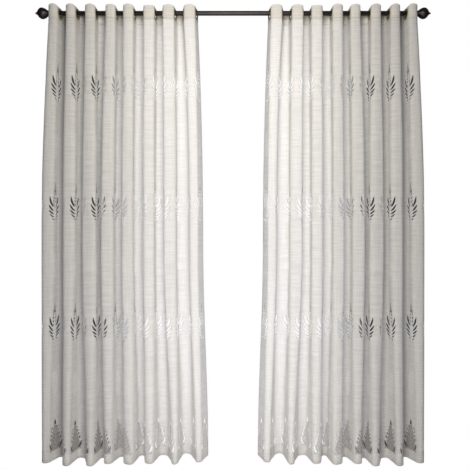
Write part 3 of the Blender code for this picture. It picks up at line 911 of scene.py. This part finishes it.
def add_finial(side_name, side, material):
    """A turned ball end with its small point, drawn out from the rod's end station by station."""
    deselect_all()
    radius = FINIAL_PROFILE[0][1]
    at = side * (ROD_LENGTH / 2 + FINIAL_GAP)
    bpy.ops.mesh.primitive_circle_add(
        vertices=ROD_SIDES, radius=radius * MM, fill_type="NGON", location=(at, 0, 0), rotation=ALONG_ROD
    )
    bpy.ops.object.transform_apply(location=True, rotation=True, scale=True)
    bpy.ops.object.mode_set(mode="EDIT")
    bpy.ops.mesh.select_all(action="SELECT")
    for (out, before), (further, after) in zip(FINIAL_PROFILE, FINIAL_PROFILE[1:]):
        step = side * (further - out) * MM
        at += step
        bpy.ops.mesh.extrude_region_move(TRANSFORM_OT_translate={"value": (step, 0, 0)})
        bpy.ops.transform.resize(value=(1, after / before, after / before), center_override=(at, 0, 0))
    bpy.ops.mesh.select_all(action="SELECT")
    bpy.ops.mesh.normals_make_consistent(inside=False)
    bpy.ops.object.mode_set(mode="OBJECT")
    bpy.ops.object.shade_smooth_by_angle(angle=FINIAL_SMOOTH_ANGLE)
    ball = bpy.context.active_object
    finish_hard(ball, "finial_ball_" + side_name, "finial_" + side_name, material)


def model_ring():
    """A pressed ring round the Z axis: two rolled flanges and the neck between them, each spun."""
    deselect_all()
    for number, section in enumerate(RING_SECTIONS):
        middle = (section.radius * MM, 0, section.along * MM)
        bpy.ops.mesh.primitive_circle_add(
            vertices=RING_SECTION_SIDES, radius=MM, location=middle, rotation=(math.pi / 2, 0, 0)
        )
        if number == 0:
            bpy.ops.object.transform_apply(location=True, rotation=True, scale=True)
            bpy.ops.object.mode_set(mode="EDIT")
            bpy.ops.mesh.select_all(action="SELECT")
        stretch = (section.half_width, 1, section.half_height)
        bpy.ops.transform.resize(value=stretch, center_override=middle)
        bpy.ops.mesh.spin(steps=RING_STEPS, angle=2 * math.pi, center=(0, 0, 0), axis=(0, 0, 1))
        bpy.ops.mesh.select_all(action="SELECT")
        bpy.ops.mesh.remove_doubles(threshold=RING_MERGE)
        bpy.ops.mesh.select_all(action="DESELECT")
    bpy.ops.mesh.select_all(action="SELECT")
    bpy.ops.mesh.normals_make_consistent(inside=False)
    bpy.ops.object.mode_set(mode="OBJECT")
    bpy.ops.object.shade_smooth()
    return bpy.context.active_object


def add_eyelets(material):
    """A copy of the ring at each hole of the cloth, square to it and hanging over the rod."""
    model = model_ring()
    middles = np.array([(across, EYELET_BELOW_EDGE) for across in eyelet_positions()])
    aside = np.array((HEAD_FLAT / 2, 0.0))
    drape = Drape((TOP_MARGIN, HEAD_DEPTH))
    before, after = drape.places(middles - aside), drape.places(middles + aside)
    up = Vector((0, 0, 1))
    for side_name, side in (("left", 1), ("right", -1)):
        mirrored = np.array((side, 1, 1))
        for number, (first, second) in enumerate(zip(before * mirrored, after * mirrored), 1):
            along = Vector(second - first).normalized()
            back = Vector((-along.y, along.x, 0)) * side
            centre = Vector((first + second) / 2) + back * (HEADING_BACK / 2)
            turn = Matrix((up.cross(back), up, back)).transposed().to_4x4()
            mesh = model.data.copy()
            mesh.transform(Matrix.Translation(centre) @ turn)
            ring = bpy.data.objects.new("ring", mesh)
            bpy.context.scene.collection.objects.link(ring)
            place_name = f"{side_name}_{number:02d}"
            finish_hard(ring, "ring_" + place_name, "eyelet_" + place_name, material)
    bpy.data.objects.remove(model, do_unlink=True)


# Stage: floor, painted-shade cards, lights and camera


def add_floor():
    """A white floor that meets the white background without a line, as in the photograph."""
    deselect_all()
    height = CAD_BOX[0].z - FLOOR_BELOW
    bpy.ops.mesh.primitive_plane_add(size=FLOOR_SIZE, location=(0, 0, height))
    floor = bpy.context.active_object
    floor.name = "floor"
    material, tree, output = new_material("pale_studio_floor")
    seen = add_node(tree, "LightPath").outputs["Is Camera Ray"]
    bright = add_node(tree, "Emission", {"Color": WHITE, "Strength": 1.0})
    matt = add_node(tree, "BsdfDiffuse", {"Color": hex_colour("f4f4f2")})
    both = add_node(tree, "MixShader", (seen, matt, bright))
    tree.links.new(both.outputs[0], output.inputs["Surface"])
    floor.data.materials.append(material)


def add_shade_cards():
    """Painted shade: a dark card behind each curtain's outer folds, standing in for the shade there.

    It fades out towards the middle, and its back doesn't show.
    """
    material, tree, output = new_material("painted_shade_card")
    place = add_node(tree, "TexCoord").outputs["Object"]
    along_rod = add_node(tree, "SeparateXYZ", (place,)).outputs["X"]
    from_middle = add_node(tree, "Math", (along_rod,), operation="ABSOLUTE")
    dark = add_node(tree, "MapRange", (from_middle, CARD_CLEAR, CARD_DARK))
    behind = add_node(tree, "NewGeometry").outputs["Backfacing"]
    clear = add_node(tree, "BsdfTransparent")
    # Painted shade: an even dark grey glow, seen only by the camera, that lights nothing
    shade = add_node(tree, "Emission", {"Color": hex_colour("3c4042"), "Strength": 1.0})
    fading = add_node(tree, "MixShader", (dark, clear, shade))
    one_sided = add_node(tree, "MixShader", (behind, fading, clear))
    tree.links.new(one_sided.outputs[0], output.inputs["Surface"])
    for side_name, side in (("left", -1), ("right", 1)):
        deselect_all()
        bpy.ops.mesh.primitive_grid_add(x_subdivisions=2, y_subdivisions=2, size=2)
        card = bpy.context.active_object
        card.name = "shade_card_" + side_name
        for corner in card.data.vertices:
            column = CARD_COLUMNS[round(corner.co.x) + 1]
            depth = (1 - corner.co.y) / 2
            across = mix(column.top_across, column.foot_across, depth)
            corner.co = (side * across, column.back, mix(CARD_TOP, CARD_FOOT, depth))
        if side == -1:
            card.data.flip_normals()
        card.data.materials.append(material)
        card.visible_diffuse = False
        card.visible_glossy = False
        card.visible_transmission = False
        card.visible_shadow = False


def add_softbox(softbox):
    """A soft rectangular light that the camera doesn't see."""
    light = bpy.data.lights.new(softbox.name, "AREA")
    light.shape = "RECTANGLE"
    light.size, light.size_y = softbox.size
    light.energy = softbox.power
    light.color = hex_colour(softbox.colour)[:3]
    lamp = bpy.data.objects.new(softbox.name, light)
    place = Vector(softbox.place)
    lamp.location = place
    lamp.rotation_euler = (Vector((0, 0, place.z)) - place).to_track_quat("-Z", "Y").to_euler()
    bpy.context.scene.collection.objects.link(lamp)
    lamp.visible_camera = False


def add_world():
    """White where the camera sees it, and a dim bluish fill for everything it lights."""
    world = bpy.data.worlds.new("white_studio")
    world.use_nodes = True
    tree = world.node_tree
    tree.nodes.clear()
    seen = add_node(tree, "LightPath").outputs["Is Camera Ray"]
    tints = {"Factor": seen, MIX_FIRST: hex_colour("dfe5ff"), MIX_SECOND: WHITE}
    colour = add_node(tree, "Mix", tints, data_type="RGBA").outputs[MIX_RESULT]
    strength = add_node(tree, "MapRange", {"Value": seen, "To Min": FILL_STRENGTH, "To Max": 1.0})
    background = add_node(tree, "Background", {"Color": colour, "Strength": strength})
    add_node(tree, "OutputWorld", {"Surface": background})
    bpy.context.scene.world = world


def add_camera():
    """The photograph's view: straight on, from half the curtains' height."""
    camera = bpy.data.cameras.new("photo_camera")
    camera.lens = CAMERA_LENS_MM
    holder = bpy.data.objects.new("photo_camera", camera)
    holder.location = CAMERA_PLACE
    holder.rotation_euler = (math.pi / 2, 0.0, 0.0)
    bpy.context.scene.collection.objects.link(holder)
    bpy.context.scene.camera = holder


def main():
    add_camera()
    add_floor()
    add_shade_cards()
    for softbox in SOFTBOXES:
        add_softbox(softbox)
    add_world()
    bpy.context.scene.view_settings.view_transform = "Standard"
    add_panels(voile_material())
    add_headings(heading_material())
    add_eyelets(brass_material())
    bronze = bronze_material()
    add_rod(bronze)
    add_finial("left", -1, bronze)
    add_finial("right", 1, bronze)


main()
